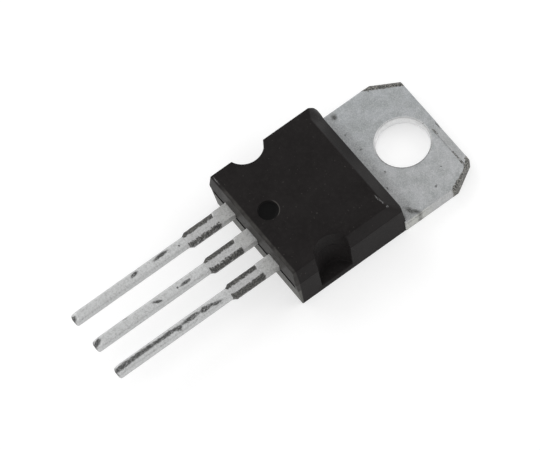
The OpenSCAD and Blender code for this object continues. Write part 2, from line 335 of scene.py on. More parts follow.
def build_tab():
    """The tab outside the body: sheared walls, rolled edges, uneven face and punched hole."""
    points, wear, faces = [], [], []
    # The wall by (inset, level, wear).
    levels = [
        (0.05, 0.0, 0.4), (0.012, 0.03, 0.3), (0.0, 0.1, 0.3), (0.012, 0.2, 0.3),
        (0.015, 0.32, 0.3), (0.0, 0.4, 0.1), (0.0, 0.7, 0.1), (0.0, 0.92, 0.2), (0.0, 1.0, 0.45),
    ]
    rings = []
    for inset, z, rough in levels:
        ring = tab_ring(inset)
        rings.append(len(points))
        for p in ring:
            ragged = wobble(p.x, p.y, z, 1.3, 0.05, 2) if 0.15 < z < 0.5 else 0
            points.append((p.x, p.y, (z + ragged) * (tab_top(p.x, p.y) - ROLL_H) / WALL_TOP))
            wear.append(max(rough, tab_wear_and_shade(p.x, p.y)))
    for k in range(ROLL_STEPS + 1):
        angle = math.pi / 2 * k / ROLL_STEPS
        inset = ROLL_W * (1 - math.cos(angle))
        ring = tab_ring(inset)
        rings.append(len(points))
        for p in ring:
            drop = ROLL_H * (1 - math.sin(angle))
            points.append((p.x, p.y, tab_top(p.x, p.y) - drop))
            wear.append(tab_wear_and_shade(p.x, p.y))
    count = len(tab_ring(0))
    for low, high in zip(rings, rings[1:]):
        bridge(faces, low, high, count)

    # Hole: a rolled-in rim above, a burnished band, then a band that opens towards the back.
    sides = 96
    profile = [
        (HOLE_OPEN, 0.0), (-HOLE_OPEN, 0.02), (-0.17, 0.14), (-0.07, 0.32), (-0.01, 0.44),
        (0.0, 0.55), (0.0, TAB_T - 0.2), (-0.01, TAB_T - 0.13), (-0.032, TAB_T - 0.06),
        (-0.07, TAB_T - 0.018), (-HOLE_ROLL, None),
    ]
    holes = []
    for out, z in profile:
        holes.append(len(points))
        for k in range(sides):
            a = -2 * math.pi * k / sides
            ragged = wobble(math.cos(a), math.sin(a), 0, 2.6, 0.05, 6) if z and 0.3 < z < 0.5 else 0
            r = HOLE_R - out if z != 0.0 else HOLE_R + out
            x, y = r * math.cos(a), r * math.sin(a)
            points.append((x, y, tab_top(x, y) if z is None else z + ragged))
            wear.append(0.0)
    for low, high in zip(holes, holes[1:]):
        bridge(faces, low, high, sides)

    for level, ring_start, hole_start in ((0, rings[0], holes[0]), (1, rings[-1], holes[-1])):
        loop = list(range(ring_start, ring_start + count))
        hole = list(range(hole_start, hole_start + sides))
        flat = [Vector(points[i][:2]) for i in loop + hole]
        edges = [(i, (i + 1) % count) for i in range(count)]
        edges += [(count + i, count + (i + 1) % sides) for i in range(sides)]
        step = FACE_GRID if level else BACK_GRID
        inner_r = HOLE_R + (HOLE_ROLL if level else HOLE_OPEN) + step * 0.5
        rows = int((TAB_END - SHOULDER_Y) / step) + 1
        for j in range(rows):
            y = SHOULDER_Y + step * (j + 0.5)
            for i in range(int(2 * TAB_HALF / step) + 1):
                x = -TAB_HALF + step * (i + 0.5 * (j % 2))
                p = Vector((x, y))
                margin = min(depth_in(x, y, k) for k in range(TAB_CORNERS))
                if margin > (ROLL_W if level else 0.02) + step * 0.45 and p.length > inner_r:
                    flat.append(p)
        if level:
            for i in range(CREASE_POINTS):
                x = COIN_FROM - 0.2 + CREASE_STEP * i
                for off in (-CREASE_W, -CREASE_W / 2, 0.0, CREASE_W / 2, CREASE_W):
                    y = TAB_END - COIN_W + off - wobble(x, 0, 0, *COIN_WAVE)
                    if depth_in(x, y, RIGHT_CUT) > ROLL_W + 0.03:
                        flat.append(Vector((x, y)))

        def inner(p):
            points.append((p.x, p.y, tab_top(p.x, p.y) if level else 0.0))
            wear.append(tab_wear_and_shade(p.x, p.y) if level else 0.0)
            return len(points) - 1

        known = [ring_start + i for i in range(count)] + [hole_start + i for i in range(sides)]
        faces += fill_flat(flat, edges, known, inner, Vector((0, 0)), 0.999 * flat[count].length)
    return make_object("tab_frame_metal", points, faces, wear)


def inner_normal(k):
    edge = (TAB_OUTLINE[(k + 1) % TAB_CORNERS] - TAB_OUTLINE[k]).normalized()
    return Vector((-edge.y, edge.x))


# Leads

def lead_section(y, x0, x1, z0, z1, left, right, wear):
    """One ring of a lead and its wear, which on a slender lead's left edge is painted shade. Its
    front edges are cut by (width, height, flatness).
    """
    ring, worn = [], []

    def corner(cx, cz, a, b, flat, quadrant, rough):
        steps = 5
        for k in range(steps + 1):
            phi = math.pi / 2 * k / steps
            if quadrant == "right":
                arc = (cx - a + a * math.cos(phi), cz - b + b * math.sin(phi))
                chord = (cx - a * k / steps, cz - b + b * k / steps)
            else:
                arc = (cx + a - a * math.sin(phi), cz - b + b * math.cos(phi))
                chord = (cx + a - a * k / steps, cz - b * k / steps)
            p = (arc[0] + (chord[0] - arc[0]) * flat, arc[1] + (chord[1] - arc[1]) * flat)
            ring.append(p)
            inside = 1 - abs(2 * k / steps - 1)
            least = 0.85 if quadrant == "right" else 0.55
            worn.append(rough * (least + (1 - least) * inside))

    soft = 0.035
    ring += [(x0 + soft, z0), (x0 + (x1 - x0) * 0.5, z0), (x1 - soft, z0), (x1, z0 + soft)]
    worn += [0, 0, 0, wear[1] * 0.35]
    mid_z = z0 + (z1 - z0) * 0.35
    ring.append((x1, mid_z))
    worn.append(wear[1] * 0.9)
    corner(x1, z1, right[0], right[1], right[2], "right", wear[1])
    for share in (0.2, 0.4, 0.6, 0.8):
        low, high = x1 - right[0], x0 + left[0]
        ring.append((low + (high - low) * share, z1))
        worn.append(0.65 * wear[1] if share == 0.2 and wear[1] > 0.3 else 0.0)
    corner(x0, z1, left[0], left[1], left[2], "left", wear[0])
    ring += [(x0, mid_z), (x0, z0 + soft)]
    worn += [wear[0] * 0.9, wear[0] * 0.8]
    out = []
    for x, z in ring:
        bump = wobble(x, y, z, 1.6, 0.008, 11) if z > mid_z else 0
        out.append((x, y, z + bump))
    return out, worn


def between(a, b, t):
    return a + (b - a) * t


def lead_rings(x):
    """Rings of a lead's bar outside the body, from its tip to the body."""
    (left_w, left_h), (right_w, right_h) = LEFT_BEVEL, RIGHT_BEVEL
    rings = []
    # Tip: cut off square, with its corners and front edge slightly rounded.
    for back, narrow, drop, lift in (
        (0.0, 0.17, 0.19, 0.09), (0.012, 0.12, 0.16, 0.06), (0.04, 0.07, 0.13, 0.03),
        (0.08, 0.03, 0.1, 0.01), (0.14, 0.01, 0.07, 0.0), (0.22, 0.0, 0.04, 0.0),
        (0.34, 0.0, 0.012, 0.0), (0.5, 0.0, 0.0, 0.0),
    ):
        rough = 1 - ramp(back, 0.0, 0.12)
        rings.append(lead_section(
            TIP_Y + back, x - SLIM_HALF + narrow, x + SLIM_HALF - narrow,
            LEAD_LOW + lift, LEAD_HIGH - drop,
            (0.12, 0.08, 0.2), (0.11, 0.09, 0), (0.42 + 0.5 * rough, 0.6 * rough)))
    y = TIP_Y + TIP_LONG
    neck_y = WIDE_END_Y - SHOULDER
    torn = between(0.7, 0.88, (x / PITCH + 1) / 2)
    # Slender length: the left edge's wear of 0.42 is painted shade, darkening the edge that faces
    # away from the light; the tip and shoulder start from the same value.
    while y < neck_y - 0.1:
        drift = wobble(x, y, 0, 0.45, 0.012, x)
        soft = 0.11 + wobble(x, y, 0, 1.2, 0.03, 2)
        rings.append(lead_section(
            y, x - SLIM_HALF + max(0, drift), x + SLIM_HALF + min(0, drift), LEAD_LOW, LEAD_HIGH,
            (soft, 0.07, 0.25), (soft * 0.8, 0.08, 0.1), (0.42, 0.1)))
        y += SLIM_STEP
    # Shoulder and the wide part's flanks: a drawn-down bevel on the left, a torn wall on the right.
    for t in (0.0, 0.06, 0.25, 0.5, 0.75, 1.0):
        half = between(SLIM_HALF, WIDE_HALF, t)
        start = ramp(t, 0.0, 0.25)
        rings.append(lead_section(
            neck_y + SHOULDER * t, x - half, x + half, LEAD_LOW, LEAD_HIGH,
            (between(0.11, left_w - WIDE_HALF + half, start), between(0.07, left_h, start), 0.8),
            (between(0.09, right_w, start), between(0.08, right_h, start), 0.5),
            (between(0.42, 0.95, start), between(0.1, torn, start))))
    y = WIDE_END_Y + WIDE_STEP
    while y < FLANK_END_Y - FLANK_FADE:
        jag = wobble(x, y, 0, 3.5, 0.04, 8)
        rings.append(lead_section(
            y, x - WIDE_HALF, x + WIDE_HALF, LEAD_LOW, LEAD_HIGH,
            (left_w + jag, left_h, 0.8), (right_w - jag, right_h, 0.5), (0.95, torn)))
        y += WIDE_STEP
    for k in range(9):
        t = k / 8
        left_t, right_t = ramp(t, 0.1, 0.7), ramp(t, 0.35, 1.0)
        rings.append(lead_section(
            y + FLANK_FADE * t, x - WIDE_HALF, x + WIDE_HALF, LEAD_LOW, LEAD_HIGH,
            (between(left_w, 0.05, left_t), between(left_h, 0.04, left_t), 0.8 * (1 - left_t)),
            (between(right_w, 0.05, right_t), between(right_h, 0.04, right_t), 0.5 * (1 - right_t)),
            (0.95 * (1 - left_t), torn * (1 - right_t))))
    y += FLANK_FADE + WIDE_STEP
    while y < -BODY_END - 0.04:
        rings.append(lead_section(
            y, x - WIDE_HALF, x + WIDE_HALF, LEAD_LOW, LEAD_HIGH,
            (0.05, 0.04, 0), (0.05, 0.04, 0), (0, 0)))
        y += 0.15
    rings.append(plain_section(x, WIDE_HALF, -BODY_END - 0.01))
    return rings


def plain_section(x, half, y):
    eased = (0.012, 0.012, 0)
    return lead_section(y, x - half, x + half, LEAD_LOW, LEAD_HIGH, eased, eased, (0, 0))


def skin(name, rings):
    """Closes a row of rings into a solid."""
    points, wear, faces = [], [], []
    for ring, worn in rings:
        points += ring
        wear += worn
    count = len(rings[0][0])
    for i in range(len(rings) - 1):
        bridge(faces, i * count, (i + 1) * count, count)
    faces.append(tuple(range(count)))
    last = (len(rings) - 1) * count
    faces.append(tuple(range(last + count - 1, last - 1, -1)))
    return make_object(name, points, faces, wear)


def build_side_lead(side):
    """A side lead: the bar outside the body and the bond paddle inside it."""
    x = side * PITCH
    rings = lead_rings(x)
    paddle_x = side * (PITCH + PADDLE_OUT)
    low_y, high_y = -BODY_END + PADDLE_IN, -BODY_END + PADDLE_IN + PADDLE_LONG
    rings.append(plain_section(x, WIDE_HALF, low_y - 0.002))
    bite_y = (low_y + high_y) / 2
    for k in range(PADDLE_STEPS + 1):
        y = between(low_y, high_y, k / PADDLE_STEPS)
        away = abs(y - bite_y)
        bite = math.sqrt(max(0, BITE_R ** 2 - away ** 2))
        rings.append(plain_section(paddle_x, PADDLE_HALF - bite, y))
    name = "input_lead_metal" if side < 0 else "output_lead_metal"
    return skin(name, rings)


def build_frame():
    """Tab, flag, neck and centre lead in one piece."""
    tab = build_tab()
    core = node_copy("tab_frame")
    combine(core, block("inside", (-6, -BODY_END + 0.05, -1), (6, SHOULDER_Y, 6)), "INTERSECT")
    combine(tab, core, "UNION")
    rings = lead_rings(0)
    rings.append(plain_section(0, WIDE_HALF, -BODY_END + NECK_IN))
    combine(tab, skin("centre_lead", rings), "UNION")
    return tab


# Body

def quarter(t):
    """Height and inset of a rounded edge, t from 0 at its foot to 1 at its top."""
    return math.sin(t * math.pi / 2), 1 - math.cos(t * math.pi / 2)


def corner_points(w, y, centre, r_plan, steps=10, soft=0.06):
    """A lead-side plan corner from flank to front. An upright rounding cuts its sides."""
    cx, cy = centre
    big = r_plan - soft
    in_x, in_y = w - soft, y - soft
    a_low = math.acos(max(-1, min(1, (in_x - cx) / big))) if in_x - cx < big else 0.0
    a_high = math.asin(max(-1, min(1, (in_y - cy) / big))) if in_y - cy < big else math.pi / 2
    sharp = in_y <= cy or in_x <= cx or a_high <= a_low
    out = []
    for k in range(steps + 1):
        a = math.pi / 2 * k / steps
        if sharp:
            ex, ey = in_x, in_y
        else:
            b = min(max(a, a_low), a_high)
            ex, ey = cx + big * math.cos(b), cy + big * math.sin(b)
        out.append((ex + soft * math.cos(a), ey + soft * math.sin(a)))
    return out


def body_widths(z, edge):
    """Half width, tab-side y and lead-side y at a height. The top edge is rounded by edge."""
    if z < PART_Z:
        t = z / PART_Z
        w = between(BODY_HALF - FLANK_DRAFT, BODY_HALF - PART_STEP, t)
        lead = -between(BODY_END - UNDER_DRAFT, BODY_END - PART_STEP, t)
    else:
        t = (z - PART_Z) / (BODY_H - PART_Z)
        w = between(BODY_HALF, TOP_HALF, t)
        lead = -between(BODY_END, BODY_END - LEAD_DRAFT, t)
    if z < TAB_T:
        tab = -BODY_START
    elif z < PART_Z:
        tab = -BODY_START - LEAN_LOW * (z - TAB_T) / (PART_Z - TAB_T)
    else:
        tab = -BODY_START - LEAN_LOW - LEAN_HIGH * (z - PART_Z) / (BODY_H - PART_Z)
    return w - EDGE_IN[0] * edge, tab - EDGE_IN[1] * edge, lead + EDGE_IN[2] * edge


def cut_corner(w, tab, cut, steps=10, soft=0.06):
    """A tab-side plan corner from flank to front, cut off along y + CORNER_TURN * x = cut."""
    side, front = tab - soft, w - soft
    if cut is not None and cut - CORNER_TURN * w < side:
        side, front = cut - CORNER_TURN * w, max(0, (cut - tab) / CORNER_TURN)
    out = [(w, side - soft * 0.5)]
    for k in range(steps):
        t = k / (steps - 1)
        out.append((between(w - soft * 0.3, front, t), between(side, tab, t)))
    return out


def body_ring(w, tab, lead, cut, notch_r, bitten, lip=0.0):
    """One ring round the body, the same count at each height, from the right lead-side corner."""
    centre = (BODY_HALF - LEAD_CORNER_R, BODY_END - LEAD_CORNER_R)
    lead_corner = corner_points(w, -lead, centre, LEAD_CORNER_R, 6)
    flank = notch_points(w, notch_r, bitten, lip)
    start = [(x, -y) for x, y in reversed(lead_corner)]
    start += spread((lead_corner[0][0], -lead_corner[0][1]), flank[0], 5) + flank
    # Only the right corner is cut off.
    right, left = (start + spread(flank[-1], corner[0], 9) + corner
                   for corner in (cut_corner(w, tab, cut), cut_corner(w, tab, None)))
    ring = right + spread(right[-1], (-left[-1][0], left[-1][1]), 24)
    ring += [(-x, y) for x, y in reversed(left)]
    ring += spread((-left[0][0], left[0][1]), right[0], 24)
    return ring


def spread(a, b, pieces):
    """The points between a and b that part the way into equal pieces."""
    shares = [k / pieces for k in range(1, pieces)]
    return [(between(a[0], b[0], t), between(a[1], b[1], t)) for t in shares]


def notch_points(w, r, bitten, lip, soft=0.05, rim_steps=4, arc_steps=26):
    """Right flank past its notch, from lead side to tab side. A ledge's edge lies in by lip."""
    nx, ny = NOTCH
    fx = w - soft
    fy = math.sqrt((r + soft) ** 2 - (fx - nx) ** 2)
    lean = math.atan2(fy, fx - nx)
    points = []
    for k in range(rim_steps + 1):
        a = between(0, math.pi - lean, k / rim_steps) if bitten else 0
        points.append((fx + soft * math.cos(a), ny - fy + soft * math.sin(a)))
    for k in range(1, arc_steps):
        a = between(-lean, -2 * math.pi + lean, k / arc_steps)
        if bitten:
            points.append((nx + r * math.cos(a), ny + r * math.sin(a)))
        else:
            points.append((w - lip, between(ny - fy, ny + fy, k / arc_steps)))
    points += [(x, 2 * ny - y) for x, y in reversed(points[:rim_steps + 1])]
    return points


def build_body():
    """The moulded block with its notches, ledges, parting step, rounded top edge and dimple."""
    points, faces, starts = [], [], []

    def level(z, bitten=True, edge=0.0, r_add=0.0, side=1, lip=0.0):
        w, tab, lead = body_widths(z - 1e-6 * side, edge)
        r = NOTCH_R - NOTCH_DRAFT * (1 - (z - LEDGE_Z) / (BODY_H - LEDGE_Z)) + r_add
        cut = CORNER_CUT - CORNER_LEAN * z if z - 1e-6 * side > CORNER_FROM else None
        proud = LEFT_PROUD * ramp(z, 2.5, 4.1)
        starts.append(len(points))
        for x, y in body_ring(w, tab, lead, cut, r, bitten, lip):
            points.append((x, y + proud * ramp(-x, 4.0, 4.75) * (y > -6), z))

    for z, lip in ((0.0, 0), (0.05, 0), (LEDGE_Z - 0.04, 0), (LEDGE_Z - 0.012, 0.012),
                   (LEDGE_Z, 0.04)):
        level(z, False, lip=lip)
    for k in range(4):
        up, in_ = quarter(k / 3)
        level(LEDGE_Z + LEDGE_R * in_, r_add=-LEDGE_R * (1 - up))
    level(1.0)
    # Two rings at one height make a step: the one just below it, then the one just above.
    for side in (1, -1):
        level(CORNER_FROM, side=side)
    for z in (TAB_T + 0.05, 1.7, 2.2, PART_Z - 0.1):
        level(z)
    for side in (1, -1):
        level(PART_Z, side=side)
    for z in (PART_Z + 0.05, 3.0, 3.1, 3.2, 3.7, 4.1):
        level(z)
    for k in range(TOP_STEPS + 1):
        up, in_ = quarter(k / TOP_STEPS)
        level(BODY_H - TOP_R + TOP_R * up, edge=in_, r_add=RIM_R * in_)
    count = len(body_ring(5, -4, -12, None, NOTCH_R, True))
    for low, high in zip(starts, starts[1:]):
        bridge(faces, low, high, count)
    faces.append(tuple(range(count - 1, -1, -1)))

    # Dimple: rounded lip, straight wall, rounded foot and a slightly dished floor.
    sides = 64
    profile = [
        (0.045, 0.0), (0.018, -0.008), (0.004, -0.025), (0.0, -0.05), (-0.006, -0.11),
        (-0.02, -0.135), (-0.05, -DIMPLE_DEEP), (-0.3, -DIMPLE_DEEP - 0.004),
        (-0.5, -DIMPLE_DEEP - 0.006),
    ]
    dimple = []
    for out, down in profile:
        dimple.append(len(points))
        for k in range(sides):
            a = 2 * math.pi * k / sides
            r = DIMPLE_R + out
            points.append((DIMPLE[0] + r * math.cos(a), DIMPLE[1] + r * math.sin(a), BODY_H + down))
    for low, high in zip(dimple, dimple[1:]):
        bridge(faces, low, high, sides)
    faces.append(tuple(range(dimple[-1], dimple[-1] + sides)))

    last = starts[-1]
    flat = [Vector(p[:2]) for p in points[last:last + count] + points[dimple[0]:dimple[0] + sides]]
    edges = [(i, (i + 1) % count) for i in range(count)]
    edges += [(count + i, count + (i + 1) % sides) for i in range(sides)]
    centre = Vector(DIMPLE)
    for j in range(26):
        for i in range(32):
            p = Vector((-4.5 + TOP_GRID * i + TOP_GRID / 2 * (j % 2), -12.35 + TOP_GRID * j))
            near = min((p - Vector((s * NOTCH[0], NOTCH[1]))).length for s in (-1, 1))
            if (p - centre).length > 1.0 and near > 1.7 and abs(p.x) < 4.5 and p.y < -4.9:
                flat.append(p)

    def inner(p):
        points.append((p.x, p.y, BODY_H))
        return len(points) - 1

    known = [last + i for i in range(count)] + [dimple[0] + i for i in range(sides)]
    faces += fill_flat(flat, edges, known, inner, centre, 0.998 * (DIMPLE_R + profile[0][0]))
    return make_object("mould_body_shell", points, faces)


def build_mould():
    """The body with room cut for everything that it is moulded round."""
    body = build_body()
    for name in ("tab_frame", "input_lead", "output_lead", "die_solder", "die",
                 "input_wire", "output_wire", "ground_wire"):
        combine(body, node_copy(name, CUT_ROOM), "DIFFERENCE")
    return body


# Materials

# Marks and chips: (x, y, half width, half length, turn in degrees).
TAB_MARKS = [
    (-4.6, -2.51, 0.17, 0.22, 50), (4.85, -2.58, 0.15, 0.4, -47), (4.57, -2.82, 0.15, 0.36, -72),
    (4.21, -0.3, 0.07, 0.12, 35), (1.07, -2.37, 0.05, 0.08, 56), (-4.76, 0.6, 0.06, 0.07, 0),
    (-1.4, -2.6, 0.05, 0.07, 0), (0.42, 2.71, 0.04, 0.3, 90), (-3.0, -2.75, 0.05, 0.09, 20),
    (2.2, -3.0, 0.06, 0.12, 80), (-0.3, 2.0, 0.03, 0.06, 10), (3.2, 0.9, 0.03, 0.06, 0),
]
CHIPS = [
    (3.8, -4.79, 0.05, 0.2, 88), (4.12, -4.73, 0.05, 0.12, 95), (4.36, -4.7, 0.06, 0.12, 90),
    (4.74, -4.6, 0.05, 0.09, 30), (4.55, -8.72, 0.08, 0.05, 0), (-4.3, -12.55, 0.04, 0.3, 90),
]
LEAD_MARKS = [
    (-2.68, -18.64, 0.13, 0.6, 4), (-2.66, -20.88, 0.14, 0.31, 13), (-2.57, -26.03, 0.18, 0.2, 69),
    (-2.48, -17.2, 0.07, 0.08, 0), (0.07, -18.49, 0.13, 0.43, 1), (0.04, -20.83, 0.12, 0.34, -22),
    (-0.05, -25.87, 0.18, 0.38, 23), (0.06, -19.14, 0.05, 0.08, 0), (-0.3, -23.37, 0.03, 0.14, 0),
    (2.63, -17.9, 0.13, 0.6, -12), (2.56, -18.6, 0.2, 0.45, 0), (2.5, -19.8, 0.17, 0.8, 0),
    (2.6, -20.85, 0.2, 0.24, 20), (2.49, -22.0, 0.16, 1.3, 0), (2.46, -24.0, 0.18, 1.4, 0),
    (2.48, -25.4, 0.2, 0.9, 0),
]


class Graph:
    """A short way to write a material's nodes."""

    def __init__(self, name):
        self.material = bpy.data.materials.new(name)
        self.material.use_nodes = True
        self.tree = self.material.node_tree
        self.shader = self.tree.nodes["Principled BSDF"]
        self.place = self.node("ShaderNodeVectorMath", operation="SCALE")
        coords = self.node("ShaderNodeTexCoord")
        self.link(coords.outputs["Object"], self.place.inputs[0])
        self.place.inputs["Scale"].default_value = 1 / MM
        self.mm = self.place.outputs[0]
        split = self.node("ShaderNodeSeparateXYZ")
        self.link(self.mm, split.inputs[0])
        self.x, self.y, self.z = split.outputs

    def node(self, kind, **settings):
        made = self.tree.nodes.new(kind)
        for key, value in settings.items():
            setattr(made, key, value)
        return made

    def link(self, source, target):
        if hasattr(source, "is_output"):
            self.tree.links.new(source, target)
        else:
            target.default_value = source

    def math(self, operation, a, b=0.0):
        made = self.node("ShaderNodeMath", operation=operation)
        for socket, value in zip(made.inputs, (a, b)):
            self.link(value, socket)
        return made.outputs[0]

    def times(self, a, b):
        return self.math("MULTIPLY", a, b)

    def plus(self, a, b):
        return self.math("ADD", a, b)

    def minus(self, a, b):
        return self.math("SUBTRACT", a, b)

    def absolute(self, a):
        return self.math("ABSOLUTE", a)

    def vector(self, operation, a, b):
        made = self.node("ShaderNodeVectorMath", operation=operation)
        self.link(a, made.inputs[0])
        self.link(b, made.inputs[1])
        return made.outputs["Value" if operation in ("LENGTH", "DISTANCE") else "Vector"]

    def noise(self, scale, detail=2.0, rough=0.5, stretch=None, offset=0.0, out="Fac"):
        made = self.node("ShaderNodeTexNoise")
        place = self.mm
        if stretch or offset:
            mapping = self.node("ShaderNodeMapping")
            self.link(self.mm, mapping.inputs[0])
            mapping.inputs["Scale"].default_value = stretch or (1, 1, 1)
            mapping.inputs["Location"].default_value = (offset, offset * 0.7, -offset)
            place = mapping.outputs[0]
        self.link(place, made.inputs["Vector"])
        made.inputs["Scale"].default_value = scale
        made.inputs["Detail"].default_value = detail
        made.inputs["Roughness"].default_value = rough
        return made.outputs[out]

    def steps(self, value, low, high, out_low=0.0, out_high=1.0):
        made = self.node("ShaderNodeMapRange", interpolation_type="SMOOTHSTEP")
        for socket, number in zip(made.inputs, (value, low, high, out_low, out_high)):
            self.link(number, socket)
        return made.outputs[0]

    def mix(self, share, a, b):
        made = self.node("ShaderNodeMix", data_type="RGBA")
        self.link(share, made.inputs[0])
        for socket, colour in ((made.inputs[6], a), (made.inputs[7], b)):
            self.link(colour if hasattr(colour, "is_output") else (*colour, 1.0), socket)
        return made.outputs[2]

    def blots(self, marks, ragged, soft):
        """Share covered by oval marks, with their outlines shaken by ragged and blurred by soft."""
        shake = self.vector("SUBTRACT", self.noise(7.0, 3.0, out="Color"), (0.5, 0.5, 0.5))
        scaled = self.node("ShaderNodeVectorMath", operation="SCALE")
        self.link(shake, scaled.inputs[0])
        scaled.inputs["Scale"].default_value = ragged
        place = self.vector("ADD", self.mm, scaled.outputs[0])
        nearest = None
        for x, y, wide, long, turn in marks:
            mapping = self.node("ShaderNodeMapping", vector_type="TEXTURE")
            self.link(place, mapping.inputs[0])
            mapping.inputs["Location"].default_value = (x, y, 0)
            mapping.inputs["Rotation"].default_value = (0, 0, math.radians(turn))
            mapping.inputs["Scale"].default_value = (wide, long, 60)
            away = self.vector("LENGTH", mapping.outputs[0], (0, 0, 0))
            nearest = away if nearest is None else self.math("MINIMUM", nearest, away)
        return self.steps(nearest, 1 + soft, 1 - soft)

    def bump(self, height, distance, strength=1.0, normal=None):
        made = self.node("ShaderNodeBump")
        made.inputs["Strength"].default_value = strength
        made.inputs["Distance"].default_value = distance * MM
        self.link(height, made.inputs["Height"])
        if normal is not None:
            self.link(normal, made.inputs["Normal"])
        return made.outputs[0]

    def set(self, **values):
        for key, value in values.items():
            name = key.replace("_", " ")
            if isinstance(value, tuple):
                value = (*value, 1.0)
            self.link(value, self.shader.inputs[name])


def grey(value, tint=(1, 1, 1)):
    """A linear colour from a screen value of 0 to 255."""
    linear = lambda v: (v / 255 / 12.92) if v < 10.3 else ((v / 255 + 0.055) / 1.055) ** 2.4
    return tuple(linear(value * t) for t in tint)


def tin(g, base, coarse, uneven, grainy, marks, mark_look, worn_greys):
    """Matte tin plating: mottling, grain, pits, rubbed marks and rough sheared edges over a base.

    Mottling of scale coarse covers the share uneven, and pale grain the share grainy. mark_look is
    (grey, softness, least cover). Worn places go between worn_greys."""
    mark_grey, mark_soft, mark_cover = mark_look
    cloud = g.noise(0.55, 4, 0.6)
    mottle = g.noise(coarse, 3, 0.65, offset=3)
    grain = g.noise(14, 2, 0.6, offset=9)
    base = g.mix(g.times(g.steps(mottle, 0.42, 0.7), uneven), base, grey(118, (1, 1, 0.98)))
    base = g.mix(g.times(g.steps(grain, 0.35, 0.75), grainy), base, grey(236))
    pits = g.steps(g.noise(11, 2, 0.5, offset=40), 0.66, 0.74)
    base = g.mix(g.times(pits, 0.5), base, grey(104))
    marked_share = g.blots(marks, 0.24, mark_soft)
    patchy = g.steps(g.noise(13, 3, 0.7, offset=13), 0.36, 0.5, mark_cover, 1.0)
    marked_share = g.times(marked_share, patchy)
    base = g.mix(g.times(marked_share, 0.92), base, grey(mark_grey, (1, 1, 0.98)))
    # Besides wear, the wear attribute carries painted shade at the tab's crease, on its left cut
    # edge and on the left edges of the leads' slender lengths.
    wear = g.node("ShaderNodeAttribute", attribute_name="wear").outputs["Fac"]
    shake = g.times(g.minus(g.noise(6, 4, 0.65, offset=17), 0.5), 1.1)
    worn = g.steps(g.plus(wear, shake), 0.4, 0.64)
    fleck = g.steps(g.noise(9, 3, 0.6, offset=31), 0.42, 0.64)
    dirt = g.mix(fleck, grey(worn_greys[0], (1, 1, 0.97)), grey(worn_greys[1], (1, 0.985, 0.94)))
    base = g.mix(g.times(worn, 0.92), base, dirt)
    g.set(Base_Color=base, Metallic=g.steps(worn, 0.0, 1.0, 0.78, 0.5))
    rough = g.plus(g.times(mottle, 0.1), 0.43)
    rough = g.plus(rough, g.times(g.math("MAXIMUM", worn, marked_share), 0.2))
    g.set(Roughness=rough)
    fine = g.bump(grain, 0.016, 0.7)
    soft = g.bump(cloud, 0.05, 0.25, fine)
    torn = g.bump(g.times(worn, g.noise(11, 4, 0.7, offset=2)), 0.05, 0.8, soft)
    g.set(Normal=torn)
    return g.material


